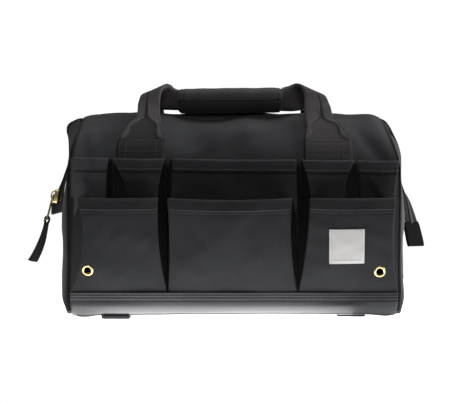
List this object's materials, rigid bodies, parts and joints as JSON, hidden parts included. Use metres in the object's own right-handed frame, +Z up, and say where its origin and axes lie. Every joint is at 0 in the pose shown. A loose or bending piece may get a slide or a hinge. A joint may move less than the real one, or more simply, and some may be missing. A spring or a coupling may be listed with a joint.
{
  "type": "electrician tool bag",
  "caption": "Zip-top canvas tool bag with padded webbing handles, two rows of open front pockets, a coated base strip and base runners.",
  "frame": {"origin": "on the floor under the middle of the whole object's box, zip tails included", "axes": "+Z up, +X along the bag towards the zip's plain tail, -Y towards the pocket front"},
  "size_m": [0.437, 0.2208, 0.2458],
  "materials": {
    "canvas": "matte black coated canvas",
    "coated_base": "semi-gloss coated cloth",
    "runner_rubber": "matte",
    "webbing": "matte woven webbing",
    "zip_tape": "matte woven tape",
    "brass": "polished",
    "woven_label": "matte woven label"
  },
  "bodies": {
    "bag": {"front_panel": "canvas", "back_panel": "canvas", "end_panel_left": "canvas", "end_panel_right": "canvas", "base_tray": "coated_base", "runner_left": "runner_rubber", "runner_right": "runner_rubber", "upper_pocket_far_left": "canvas", "upper_pocket_left": "canvas", "upper_pocket_center": "canvas", "upper_pocket_right": "canvas", "upper_pocket_far_right": "canvas", "lower_pocket_left": "canvas", "lower_pocket_center": "canvas", "lower_pocket_right": "canvas", "label_patch": "woven_label", "grommet_left": "brass", "grommet_right": "brass", "handle_front": "webbing", "handle_back": "webbing", "grip_front": "canvas", "grip_back": "canvas", "zip_tape": "zip_tape", "zip_chain": "zip_tape", "zip_tab_left": "webbing", "zip_tab_right": "webbing", "zip_slider": "brass"},
    "pull": {"zip_pull": "brass", "pull_strap": "webbing"}
  },
  "joints": [
    {"name": "pull_hinge", "type": "hinge", "parent": "bag", "child": "pull", "pos_m": [-0.19355, 0.00887, 0.12248], "axis": [0, 1, 0], "range_deg": [0, 150]}
  ]
}
